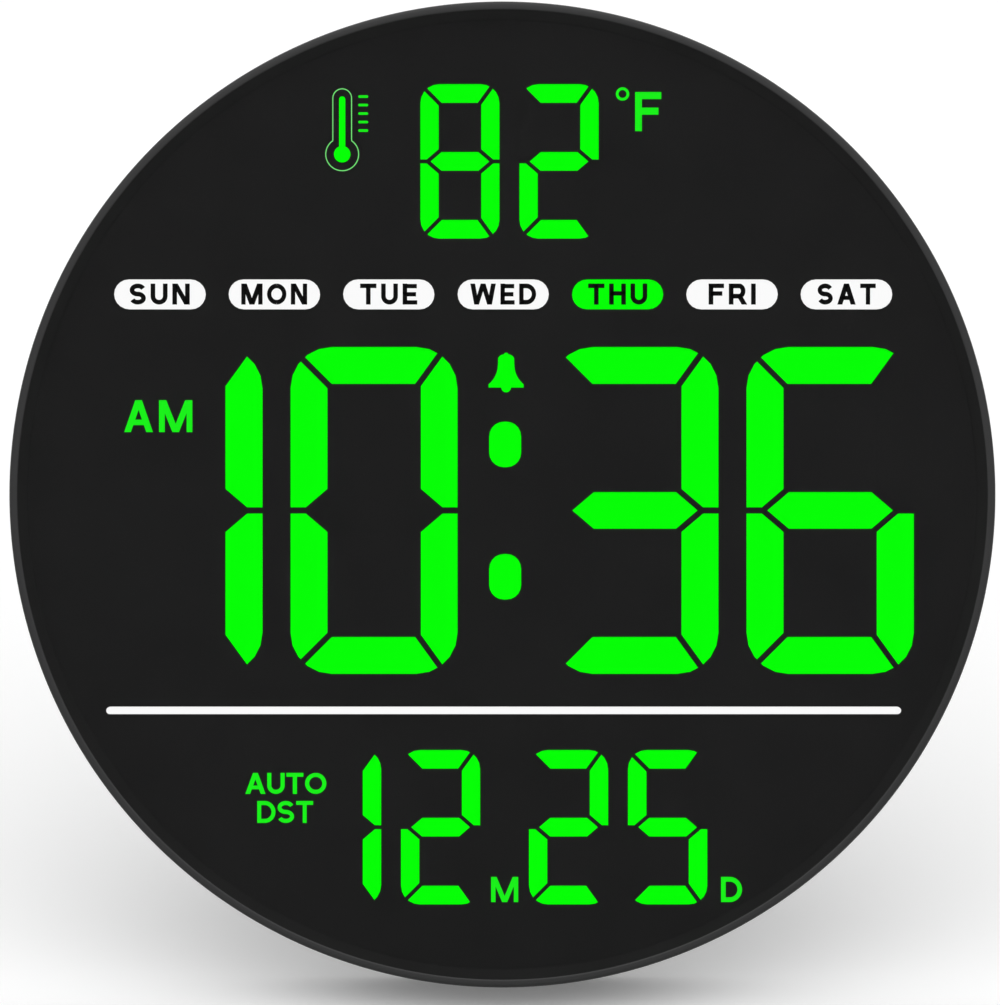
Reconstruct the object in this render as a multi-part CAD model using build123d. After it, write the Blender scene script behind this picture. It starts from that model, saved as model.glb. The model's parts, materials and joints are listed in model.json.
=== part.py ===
from build123d import *
import math
import os

# Digital wall clock of the 12 inch class, standing on its fold-out leg.
# Every piece is drawn with the clock upright, seen from the front: X to the right, Z up.
# A depth is the distance in front of the flat back of the case, so depth d lies at y = -d.
# The last section leans the whole clock back on to its leg and sets it on the table.

# Clearances
FIT_GAP = 0.2
SEGMENT_GAP = 0.15
SCREW_GAP = 0.05
SEAT_GAP = 0.05
FACE_GAP = 0.3

# Case ring and the flat plate that closes it behind
CASE_RADIUS = 152.5
RIM_WIDTH = 2.4
RIM_PROUD = 0.2
RIM_CHAMFER = 1.0
COVER_WALL = 2.5

# Layers between the back and the lens
BOARD_STANDOFF = 8.4
BOARD_THICKNESS = 1.6
BOARD_SPACING = 3.2
SHELL_THICKNESS = 10.2
SHELL_FLANGE = 2.3
LIGHT_BOX_MARGIN = 3.0
SEGMENT_THICKNESS = 2.0
LENS_THICKNESS = 2.0

# Screws, and the case bosses that take them
SCREW_ANGLES = (0, 45, 135, 180, 225, 315)
SCREW_INSET = 11.5
BOSS_WIDTH = 6.4
BOSS_CLEARANCE = 0.5
POST_WIDTH = 9.0
POST_LENGTH = 10.7
SCREW_RADIUS = 1.5
SCREW_SIDES = 8
HEAD_RADIUS = 2.75
HEAD_HEIGHT = 2.0
HEAD_SIDES = 10
WELL_RADIUS = 3.1
WELL_DEPTH = 9.0
COVER_SCREW_LENGTH = 11.0
SHORT_SCREW_LENGTH = 6.0
DISPLAY_SCREW_SPREAD = 40.0

# Seven-segment figures: big for the time, small for temperature and date
BIG_HEIGHT = 101.2
BIG_WIDTH = 51.7
BIG_STROKE = 11.35
BIG_CORNER = 12.7
BIG_GAP = 1.9
BIG_PITCH = 60.5
SMALL_HEIGHT = 47.7
SMALL_WIDTH = 24.5
SMALL_STROKE = 5.65
SMALL_CORNER = 5.8
SMALL_GAP = 1.35
SMALL_PITCH = 30.7
LEFT_MITRE = 45.0
RIGHT_MITRE = 54.1
RIGHT_MITRE_SHIFT = 0.055
TIP_ANGLE = 40.5
TIP_REACH = 0.43
CORNER_STEPS = 5
PILL_ROUND = 0.499

# Where the figures and windows stand on the face
TIME_Z = -4.95
HOUR_X = -70.0
MINUTE_X = 71.3
TEMPERATURE_X = 2.2
TEMPERATURE_Z = 103.2
DATE_Z = -103.1
MONTH_X = -34.5
DAY_X = 35.85
COLON_WIDTH = 9.9
COLON_HEIGHT = 14.1
COLON_ROUND = 4.5
COLON_X = 0.86
COLON_Z = -5.0
COLON_SPREAD = 41.0
WEEKDAY_COUNT = 7
TODAY = 4
WEEKDAY_WIDTH = 28.2
WEEKDAY_HEIGHT = 9.15
WEEKDAY_PITCH = 35.45
WEEKDAY_X = 0.25
WEEKDAY_Z = 62.0
DIVIDER_LENGTH = 246.1
DIVIDER_HEIGHT = 2.2
DIVIDER_X = 0.4
DIVIDER_Z = -66.9
LED_WIDTH = 3.2
LED_LENGTH = 2.0
LED_HEIGHT = 1.9

# Main board and what stands on it
BOARD_WIDTH = 155.0
BOARD_HEIGHT = 50.0
BOARD_Z = 56.0
BOARD_HOLE_INSET = 5.0
BOARD_POST_WIDTH = 6.5
CHIP_SIZE = (10.0, 10.0)
CHIP_HEIGHT = 1.5
CHIP_PLACE = (-14.0, 69.0)
CRYSTAL_SIZE = (8.0, 3.8)
CRYSTAL_HEIGHT = 2.5
CRYSTAL_PLACE = (2.0, 69.0)
CAPACITOR_RADIUS = 3.15
CAPACITOR_HEIGHT = 7.0
CAPACITOR_INSET = 11.0
CAPACITOR_PLACE = (BOARD_WIDTH / 2 - CAPACITOR_INSET, 66.5)
BUZZER_RADIUS = 6.0
BUZZER_HEIGHT = 6.5
BUZZER_PLACE = (19.0, 70.0)
THERMISTOR_SIZE = (3.0, 2.0)
THERMISTOR_HEIGHT = 5.5
THERMISTOR_INSET = 6.5
THERMISTOR_PLACE = (THERMISTOR_INSET - BOARD_WIDTH / 2, 64.0)
CONNECTOR_SIZE = (26.0, 5.0)
CONNECTOR_PLACE = (-45.0, 70.0)
DRIVER_SIZE = (18.0, 7.5)
DRIVER_HEIGHT = 1.75
DRIVER_PLACES = ((-70.0, -60.0), (70.0, -60.0))
CELL_RADIUS = 10.0
CELL_THICKNESS = 3.2
CELL_INSET = 32.5
CELL_PLACE = (BOARD_WIDTH / 2 - CELL_INSET, 57.0)
HOLDER_WIDTH = 12.0
HOLDER_WALL = 1.5
HOLDER_FLOOR = 1.2
SWITCH_SIDE = 6.0
SWITCH_HEIGHT = 3.5
SWITCH_BORE_DEPTH = 1.6

# Power socket and the recess that takes its plug
SOCKET_WIDTH = 8.94
SOCKET_THICKNESS = 3.26
SOCKET_LENGTH = 7.4
SOCKET_WALL = 0.3
SOCKET_MOUTH_DEPTH = 6.2
SOCKET_TONGUE = (6.7, 0.7)
PLUG_RECESS_LENGTH = 32.0
PLUG_RECESS_HEIGHT = 14.0
PLUG_RECESS_DEPTH = 13.0
POCKET_WALL = 2.0
BOARD_END_GAP = 0.5

# Buttons in a trough across the back
BUTTON_NAMES = ("set", "up", "down", "alarm", "light")
BUTTON_PITCH = 16.0
BUTTON_ROW_X = -28.0
BUTTON_ROW_Z = 44.0
BUTTON_WIDTH = 10.0
BUTTON_HEIGHT = 7.0
BUTTON_PROUD = 1.6
BUTTON_CHAMFER = 0.6
BUTTON_LIP = 1.2
BUTTON_FLANGE = 1.2
BUTTON_STEM = 3.0
BUTTON_STEM_ENTRY = 0.3
BUTTON_TRAVEL = 0.8
TROUGH_LENGTH = 82.0
TROUGH_HEIGHT = 14.0
TROUGH_DEPTH = 2.0

# Door over the coin cell: it slides down and then lifts away
DOOR_WIDTH = 30.0
DOOR_HEIGHT = 28.0
DOOR_THICKNESS = 2.0
DOOR_SINK = 0.2
DOOR_TRAVEL = 5.0
DOOR_LEDGE_WIDTH = 3.5
DOOR_LEDGE = 1.8
DOOR_SURROUND = 2.5
HOOK_THICKNESS = 1.5
HOOK_LENGTH = 4.0
HOOK_REACH = 1.5
HOOK_FOOT = 1.2
GRIP_SIZE = (14.0, 1.6)
GRIP_DEPTH = 0.7
GRIP_PITCH = 3.2
GRIP_COUNT = 3

# Keyhole for the wall screw
KEYHOLE_ENTRY_RADIUS = 4.5
KEYHOLE_SLOT_WIDTH = 4.6
KEYHOLE_TRAVEL = 10.0
KEYHOLE_Z = 95.0
KEYHOLE_ROOM = 2.5
KEYHOLE_POCKET_DEPTH = 9.0

# Vents
VENT_WIDTH = 2.0
VENT_LENGTH = 12.0
VENT_PITCH = 4.0
VENT_COUNT = 3

# Fold-out leg
LEG_LENGTH = 150.0
LEG_TOP_WIDTH = 42.0
LEG_FOOT_WIDTH = 52.0
LEG_THICKNESS = 4.0
LEG_WEB = 2.0
LEG_BORDER = 3.5
LEG_SWING = 24.0
LEG_HEEL = 5.5
HINGE_Z = 6.0
HINGE_DEPTH = 3.9
KNUCKLE_RADIUS = 3.4
PIN_RADIUS = 1.5
PIN_GRIP = 6.0
PIN_RUNNING_GAP = 0.08
LEG_SIDE_GAP = 1.0
LEG_FLOOR_GAP = 0.4
RECESS_WALL = 2.2
SCOOP_WIDTH = 18.0
SCOOP_HEIGHT = 20.0
SCOOP_RISE = 24.0

# Depths and radii that follow
MAIN_BOARD_REAR = COVER_WALL + BOARD_STANDOFF
MAIN_BOARD_FRONT = MAIN_BOARD_REAR + BOARD_THICKNESS
DISPLAY_BOARD_REAR = MAIN_BOARD_FRONT + BOARD_SPACING
SHELL_REAR = DISPLAY_BOARD_REAR + BOARD_THICKNESS
SHELL_FRONT = SHELL_REAR + SHELL_THICKNESS
FLANGE_REAR = SHELL_FRONT - SHELL_FLANGE
LENS_REAR = SHELL_FRONT + FACE_GAP
LENS_FRONT = LENS_REAR + LENS_THICKNESS
CASE_DEPTH = LENS_FRONT + RIM_PROUD
OPENING_RADIUS = CASE_RADIUS - RIM_WIDTH
PANEL_RADIUS = OPENING_RADIUS - FIT_GAP
SCREW_CIRCLE = CASE_RADIUS - SCREW_INSET
POST_END = COVER_WALL + POST_LENGTH
TROUGH_FLOOR = TROUGH_DEPTH + COVER_WALL
DOOR_FLOOR = DOOR_SINK + DOOR_THICKNESS + SEAT_GAP
DOOR_LEDGE_FRONT = DOOR_FLOOR + DOOR_LEDGE
HOOK_END = DOOR_LEDGE_FRONT + FIT_GAP + HOOK_FOOT
HOLDER_HEIGHT = HOLDER_FLOOR + CELL_THICKNESS
HOLDER_LENGTH = 2 * (CELL_RADIUS + FIT_GAP + HOLDER_WALL)
RECESS_DEPTH = HINGE_DEPTH + LEG_THICKNESS / 2 + LEG_FLOOR_GAP
SWING_SIN = math.sin(math.radians(LEG_SWING))
SWING_COS = math.cos(math.radians(LEG_SWING))
HEEL_REACH = LEG_THICKNESS / 2 * SWING_COS + LEG_HEEL * SWING_SIN
HINGE_POCKET_DEPTH = HINGE_DEPTH + max(HEEL_REACH, KNUCKLE_RADIUS) + SEAT_GAP
FOOT_ROUND = LEG_THICKNESS / 2
PLUG_RECESS_X = BOARD_WIDTH / 2 + BOARD_END_GAP + POCKET_WALL


def slab(outline, rear, front):
    """A flat outline on the clock's face, made solid between two depths."""
    return extrude(Plane.XZ.offset(rear) * outline, front - rear)


def disc(radius, rear, front, place=(0, 0)):
    """A round slab standing on the face at a place (x, z)."""
    return slab(Pos(*place) * Circle(radius), rear, front)


def block(width, height, rear, front, place=(0, 0)):
    """A rectangular slab standing on the face at a place (x, z)."""
    return slab(Pos(*place) * Rectangle(width, height), rear, front)


def turned(corners):
    """A solid of revolution about the clock's axis from (radius, depth) corners."""
    return revolve(make_face(Polyline(*[(r, -depth) for r, depth in corners], close=True)), Axis.Y)


def along_x(radius, length, depth, z):
    """A round bar lying across the clock."""
    return Pos(0, -depth, z) * Rot(0, 90, 0) * Cylinder(radius, length)


def group(pieces):
    """Separate solids that share one node."""
    return Compound([solid for piece in pieces for solid in piece.solids()])


def case_places():
    """The six case screws, each turned to face the clock's axis."""
    return [Rot(0, 0, angle) * Pos(SCREW_CIRCLE, 0) for angle in SCREW_ANGLES]


def display_places():
    """The four display screws, in the gaps between the big figures."""
    half = DISPLAY_SCREW_SPREAD / 2
    return [Pos(x, TIME_Z + z) for x in (HOUR_X, MINUTE_X) for z in (-half, half)]


def board_places():
    """The four fixing places of the main board."""
    x = BOARD_WIDTH / 2 - BOARD_HOLE_INSET
    z = BOARD_HEIGHT / 2 - BOARD_HOLE_INSET
    return [Pos(side * x, BOARD_Z + up * z) for side in (-1, 1) for up in (-1, 1)]


def screw_holes(places, gap):
    """Cored holes for thread-forming screws, as flat outlines."""
    return [place * RegularPolygon(SCREW_RADIUS + gap, SCREW_SIDES) for place in places]


def screws(places, seat, length, towards=1):
    """Pan-head screws with their heads seated at a depth and their shanks running on by length."""
    head_end = seat - towards * HEAD_HEIGHT
    shank_end = seat + towards * length
    head = slab(RegularPolygon(HEAD_RADIUS, HEAD_SIDES), min(seat, head_end), max(seat, head_end))
    shank = slab(RegularPolygon(SCREW_RADIUS, SCREW_SIDES), min(seat, shank_end), max(seat, shank_end))
    face = Plane.XZ.location
    return group(face * place * face.inverse() * (head + shank) for place in places)


# Seven-segment figures


def rounded(width, height, radius):
    """A rectangle whose round corners are laid out in short straight steps."""
    points = []
    for quarter, (side, up) in enumerate(((1, 1), (-1, 1), (-1, -1), (1, -1))):
        x = side * (width / 2 - radius)
        z = up * (height / 2 - radius)
        for step in range(CORNER_STEPS + 1):
            angle = math.pi / 2 * (quarter + step / CORNER_STEPS)
            points.append((x + radius * math.cos(angle), z + radius * math.sin(angle)))
    return make_face(Polyline(*points, close=True))


def bars(height, width, stroke, corner, gap, grow=0.0):
    """The seven bars of one figure as flat outlines, keyed a to g in the usual order.

    Each bar is cut from a rounded rectangle by its own polygon, whose ends lie half a gap
    from the mitre lines. The left mitres pass through the inner corners and the right ones
    a small share of the stroke inside them. grow moves every edge outward, which gives the
    cavity that a bar sits in.
    """
    inner_x = width / 2 - stroke
    inner_z = height / 2 - stroke
    outer_x = width / 2 + grow
    outer_z = height / 2 + grow
    edge_x = inner_x - grow
    edge_z = inner_z - grow
    half_gap = gap / 2 - grow
    tip_slope = math.tan(math.radians(TIP_ANGLE))
    tip_x = inner_x + TIP_REACH * stroke
    tip_shift = 1 / math.sin(math.radians(TIP_ANGLE))
    bar_tip = tip_x + grow * tip_shift
    upright_tip = tip_x + (gap - grow) * tip_shift
    middle = stroke / 2 + grow
    frame = rounded(2 * outer_x, 2 * outer_z, corner + grow)

    def mitre(side):
        angle = math.radians(LEFT_MITRE if side < 0 else RIGHT_MITRE)
        start = inner_x if side < 0 else inner_x - RIGHT_MITRE_SHIFT * stroke
        return start, math.tan(angle), half_gap / math.sin(angle), half_gap / math.cos(angle)

    def cut(points, side=1, up=1):
        return frame & make_face(Polyline(*[(side * x, up * z) for x, z in points], close=True))

    def level_end(side, z):
        start, slope, along, _ = mitre(side)
        return side * (start + (z - inner_z) / slope - along)

    def upright(side, up):
        start, slope, _, drop = mitre(side)
        return cut(
            [
                (edge_x, inner_z + (edge_x - start) * slope - drop),
                (outer_x, inner_z + (outer_x - start) * slope - drop),
                (outer_x, half_gap),
                (upright_tip - half_gap / tip_slope, half_gap),
                (edge_x, (upright_tip - edge_x) * tip_slope),
            ],
            side,
            up,
        )

    def level(up):
        ends = [(-1, edge_z), (-1, outer_z), (1, outer_z), (1, edge_z)]
        return cut([(level_end(side, z), z) for side, z in ends], 1, up)

    shoulder = bar_tip - middle / tip_slope
    centre_bar = [
        (-bar_tip, 0),
        (-shoulder, middle),
        (shoulder, middle),
        (bar_tip, 0),
        (shoulder, -middle),
        (-shoulder, -middle),
    ]
    return {
        "a": level(1),
        "b": upright(1, 1),
        "c": upright(1, -1),
        "d": level(-1),
        "e": upright(-1, -1),
        "f": upright(-1, 1),
        "g": cut(centre_bar),
    }


LIT_BARS = {
    "0": "abcdef",
    "1": "bc",
    "2": "abdeg",
    "3": "abcdg",
    "5": "acdfg",
    "6": "acdefg",
    "8": "abcdefg",
}
BIG = (BIG_HEIGHT, BIG_WIDTH, BIG_STROKE, BIG_CORNER, BIG_GAP)
SMALL = (SMALL_HEIGHT, SMALL_WIDTH, SMALL_STROKE, SMALL_CORNER, SMALL_GAP)

# Each pair of figures: node, what it shows, centre, pitch, size, and the bars its first figure has
FIGURE_PAIRS = (
    ("hour_segments", "10", (HOUR_X, TIME_Z), BIG_PITCH, BIG, "bc"),
    ("minute_segments", "36", (MINUTE_X, TIME_Z), BIG_PITCH, BIG, "abcdefg"),
    ("temperature_segments", "82", (TEMPERATURE_X, TEMPERATURE_Z), SMALL_PITCH, SMALL, "abcdefg"),
    ("month_segments", "12", (MONTH_X, DATE_Z), SMALL_PITCH, SMALL, "bc"),
    ("day_segments", "25", (DAY_X, DATE_Z), SMALL_PITCH, SMALL, "abcdefg"),
)


def pill(width, height):
    """A window with half-round ends."""
    return rounded(width, height, height * PILL_ROUND)


def colon_outline(grow=0.0):
    """The two dots between hours and minutes."""
    dot = rounded(COLON_WIDTH + 2 * grow, COLON_HEIGHT + 2 * grow, COLON_ROUND + grow)
    return [Pos(COLON_X, COLON_Z + sign * COLON_SPREAD / 2) * dot for sign in (1, -1)]


def weekday_outline(day, grow=0.0):
    """The window of one weekday, counted from the left."""
    x = WEEKDAY_X + (day - (WEEKDAY_COUNT - 1) / 2) * WEEKDAY_PITCH
    return Pos(x, WEEKDAY_Z) * pill(WEEKDAY_WIDTH + 2 * grow, WEEKDAY_HEIGHT + 2 * grow)


def divider_outline(grow=0.0):
    """The long line above the date."""
    return Pos(DIVIDER_X, DIVIDER_Z) * pill(DIVIDER_LENGTH + 2 * grow, DIVIDER_HEIGHT + 2 * grow)


def window_outlines():
    """Every lit or dark window by node, and the outlines of all the cavities behind them."""
    windows = {"unlit_segments": []}
    cavities = []
    for node, shown, centre, pitch, size, first_bars in FIGURE_PAIRS:
        plain = bars(*size)
        grown = bars(*size, grow=SEGMENT_GAP)
        windows[node] = []
        for figure, offset, present in zip(shown, (-pitch / 2, pitch / 2), (first_bars, "abcdefg")):
            place = Pos(centre[0] + offset, centre[1])
            for key in present:
                lit = key in LIT_BARS[figure]
                windows[node if lit else "unlit_segments"].append(place * plain[key])
                cavities.append(place * grown[key])
    windows["colon_dots"] = colon_outline()
    windows["today_window"] = [weekday_outline(TODAY)]
    windows["weekday_windows"] = [weekday_outline(day) for day in range(WEEKDAY_COUNT) if day != TODAY]
    windows["divider_window"] = [divider_outline()]
    cavities += colon_outline(SEGMENT_GAP)
    cavities += [weekday_outline(day, SEGMENT_GAP) for day in range(WEEKDAY_COUNT)]
    cavities.append(divider_outline(SEGMENT_GAP))
    return windows, cavities


# Front of the case


def boss_outlines(clear=0.0):
    """The six bosses inside the case ring, each a block that runs out into the wall."""
    inner = -BOSS_WIDTH / 2 - clear
    outer = OPENING_RADIUS + RIM_WIDTH / 2 - SCREW_CIRCLE
    boss = Pos((inner + outer) / 2, 0) * Rectangle(outer - inner, BOSS_WIDTH + 2 * clear)
    return [place * boss for place in case_places()]


def front_bezel():
    """Case ring with a chamfered rim, and bosses that carry the display shell and take the case screws."""
    ring = turned(
        [
            (CASE_RADIUS, 0),
            (CASE_RADIUS, CASE_DEPTH - RIM_CHAMFER),
            (CASE_RADIUS - RIM_CHAMFER, CASE_DEPTH),
            (OPENING_RADIUS, CASE_DEPTH),
            (OPENING_RADIUS, 0),
        ]
    )
    bosses = [slab(outline, POST_END + SEAT_GAP, FLANGE_REAR) for outline in boss_outlines()]
    bore_end = WELL_DEPTH + COVER_SCREW_LENGTH + FIT_GAP
    bores = [slab(outline, POST_END, bore_end) for outline in screw_holes(case_places(), SCREW_GAP)]
    return ring + bosses - bores


def front_lens():
    """Flat smoked panel, bonded by its edge into the rim."""
    return disc(PANEL_RADIUS, LENS_REAR, LENS_FRONT)


def light_boxes():
    """Rectangles round each row of windows: the outlines of the shell's deep light boxes."""
    half_big = (BIG_PITCH + BIG_WIDTH) / 2
    half_small = (SMALL_PITCH + SMALL_WIDTH) / 2
    half_week = ((WEEKDAY_COUNT - 1) * WEEKDAY_PITCH + WEEKDAY_WIDTH) / 2
    rows = (
        (HOUR_X - half_big, MINUTE_X + half_big, TIME_Z, BIG_HEIGHT),
        (TEMPERATURE_X - half_small, TEMPERATURE_X + half_small, TEMPERATURE_Z, SMALL_HEIGHT),
        (MONTH_X - half_small, DAY_X + half_small, DATE_Z, SMALL_HEIGHT),
        (WEEKDAY_X - half_week, WEEKDAY_X + half_week, WEEKDAY_Z, WEEKDAY_HEIGHT),
        (DIVIDER_X - DIVIDER_LENGTH / 2, DIVIDER_X + DIVIDER_LENGTH / 2, DIVIDER_Z, DIVIDER_HEIGHT),
    )
    margin = 2 * LIGHT_BOX_MARGIN
    return [
        Pos((left + right) / 2, z) * Rectangle(right - left + margin, height + margin)
        for left, right, z, height in rows
    ]


def inside_case(outline):
    """Trims a flat outline to the case ring and clears it round the bosses."""
    return (outline & Circle(PANEL_RADIUS)) - boss_outlines(BOSS_CLEARANCE)


def display_shell(cavities):
    """Reflector: a round black front plate on deep light boxes, with one light well per window."""
    boxes = inside_case(Sketch() + light_boxes())
    wells = slab(Sketch() + cavities, SHELL_REAR, SHELL_FRONT)
    pilot_end = SHELL_REAR + SHORT_SCREW_LENGTH
    pilots = [slab(outline, SHELL_REAR, pilot_end) for outline in screw_holes(display_places(), SCREW_GAP)]
    plate = disc(PANEL_RADIUS, FLANGE_REAR, SHELL_FRONT)
    return plate + slab(boxes, SHELL_REAR, FLANGE_REAR) - wells - pilots


def display_board():
    """Circuit board that closes the light boxes from behind."""
    outline = inside_case(make_hull((Sketch() + light_boxes()).edges()))
    return slab(outline - screw_holes(display_places(), SCREW_GAP), DISPLAY_BOARD_REAR, SHELL_REAR)


def segment_leds(cavities):
    """One lamp on the display board in the middle of every light well."""
    lamps = []
    for outline in cavities:
        middle = outline.center(CenterOf.MASS)
        place = (middle.X, middle.Y)
        lamps.append(block(LED_WIDTH, LED_LENGTH, SHELL_REAR, SHELL_REAR + LED_HEIGHT, place))
    return group(lamps)


def led_drivers():
    """Two driver chips on the rear side of the display board."""
    top = DISPLAY_BOARD_REAR - DRIVER_HEIGHT
    return group(block(*DRIVER_SIZE, top, DISPLAY_BOARD_REAR, place) for place in DRIVER_PLACES)


# Main board


def button_places():
    """The row of buttons, left to right as seen from the front."""
    middle = (len(BUTTON_NAMES) - 1) / 2
    return [(BUTTON_ROW_X + (i - middle) * BUTTON_PITCH, BUTTON_ROW_Z) for i in range(len(BUTTON_NAMES))]


def main_board():
    """Rectangular circuit board screwed to four posts of the rear cover."""
    outline = Pos(0, BOARD_Z) * Rectangle(BOARD_WIDTH, BOARD_HEIGHT)
    return slab(outline - screw_holes(board_places(), SCREW_GAP), MAIN_BOARD_REAR, MAIN_BOARD_FRONT)


def on_board(outline, height, place):
    """A component standing on the rear side of the main board."""
    return slab(Pos(*place) * outline, MAIN_BOARD_REAR - height, MAIN_BOARD_REAR)


def tact_switches():
    """One push switch per button, with the well that the button's stem works in."""
    top = MAIN_BOARD_REAR - SWITCH_HEIGHT
    bore = BUTTON_STEM + 2 * FIT_GAP
    return group(
        on_board(Rectangle(SWITCH_SIDE, SWITCH_SIDE), SWITCH_HEIGHT, place)
        - block(bore, bore, top, top + SWITCH_BORE_DEPTH, place)
        for place in button_places()
    )


def cell_holder():
    """Clip for the coin cell: a base with an upright at each end."""
    room = HOLDER_LENGTH - 2 * HOLDER_WALL
    top = MAIN_BOARD_REAR - HOLDER_HEIGHT
    base = on_board(Rectangle(HOLDER_LENGTH, HOLDER_WIDTH), HOLDER_HEIGHT, CELL_PLACE)
    return base - block(room, HOLDER_WIDTH, top, MAIN_BOARD_REAR - HOLDER_FLOOR, CELL_PLACE)


def coin_cell():
    """Lithium coin cell lying on the base of its clip."""
    floor = MAIN_BOARD_REAR - HOLDER_FLOOR
    return disc(CELL_RADIUS, floor - CELL_THICKNESS, floor, CELL_PLACE)


def socket_box(width, thickness, start, end):
    """A box lying along X in the axis of the power socket."""
    depth = MAIN_BOARD_REAR - SOCKET_THICKNESS / 2
    return Pos((start + end) / 2, -depth, BOARD_Z) * Box(end - start, thickness, width)


def usb_socket():
    """Flat power socket on the end of the main board, its mouth flush with the plug recess."""
    start = PLUG_RECESS_X - SOCKET_LENGTH
    mouth_end = PLUG_RECESS_X - SOCKET_MOUTH_DEPTH
    shell = socket_box(SOCKET_WIDTH, SOCKET_THICKNESS, start, PLUG_RECESS_X)
    inner = 2 * SOCKET_WALL
    mouth = socket_box(SOCKET_WIDTH - inner, SOCKET_THICKNESS - inner, mouth_end, PLUG_RECESS_X)
    tongue = socket_box(*SOCKET_TONGUE, mouth_end, PLUG_RECESS_X - SOCKET_WALL)
    return shell - mouth + tongue


# Rear cover


def leg_outline(margin, below):
    """The leg's tapered outline on the back, widened by a margin and run on below its foot."""
    top = HINGE_Z + LEG_HEEL + margin
    low = HINGE_Z - LEG_LENGTH - below
    spread = (LEG_FOOT_WIDTH - LEG_TOP_WIDTH) / 2 / LEG_LENGTH
    half_top = LEG_TOP_WIDTH / 2 + margin
    half_low = LEG_FOOT_WIDTH / 2 + margin + spread * below
    corners = [(-half_top, top), (half_top, top), (half_low, low), (-half_low, low)]
    return make_face(Polyline(*corners, close=True))


def keyhole_outline():
    """Round entry with a narrow slot above it."""
    slot = Pos(0, KEYHOLE_TRAVEL / 2) * Rectangle(KEYHOLE_SLOT_WIDTH, KEYHOLE_TRAVEL)
    end = Pos(0, KEYHOLE_TRAVEL) * Circle(KEYHOLE_SLOT_WIDTH / 2)
    return Pos(0, KEYHOLE_Z) * (Circle(KEYHOLE_ENTRY_RADIUS) + slot + end)


def boxed(solids, hollows, outline, wall, depth):
    """Adds a sunk pocket to the cover: a thickened box on the inside and the hollow cut from the back."""
    width, height, place = outline
    solids.append(block(width + 2 * wall, height + 2 * wall, COVER_WALL / 2, depth + wall, place))
    hollows.append(block(width, height, 0, depth, place))


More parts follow.
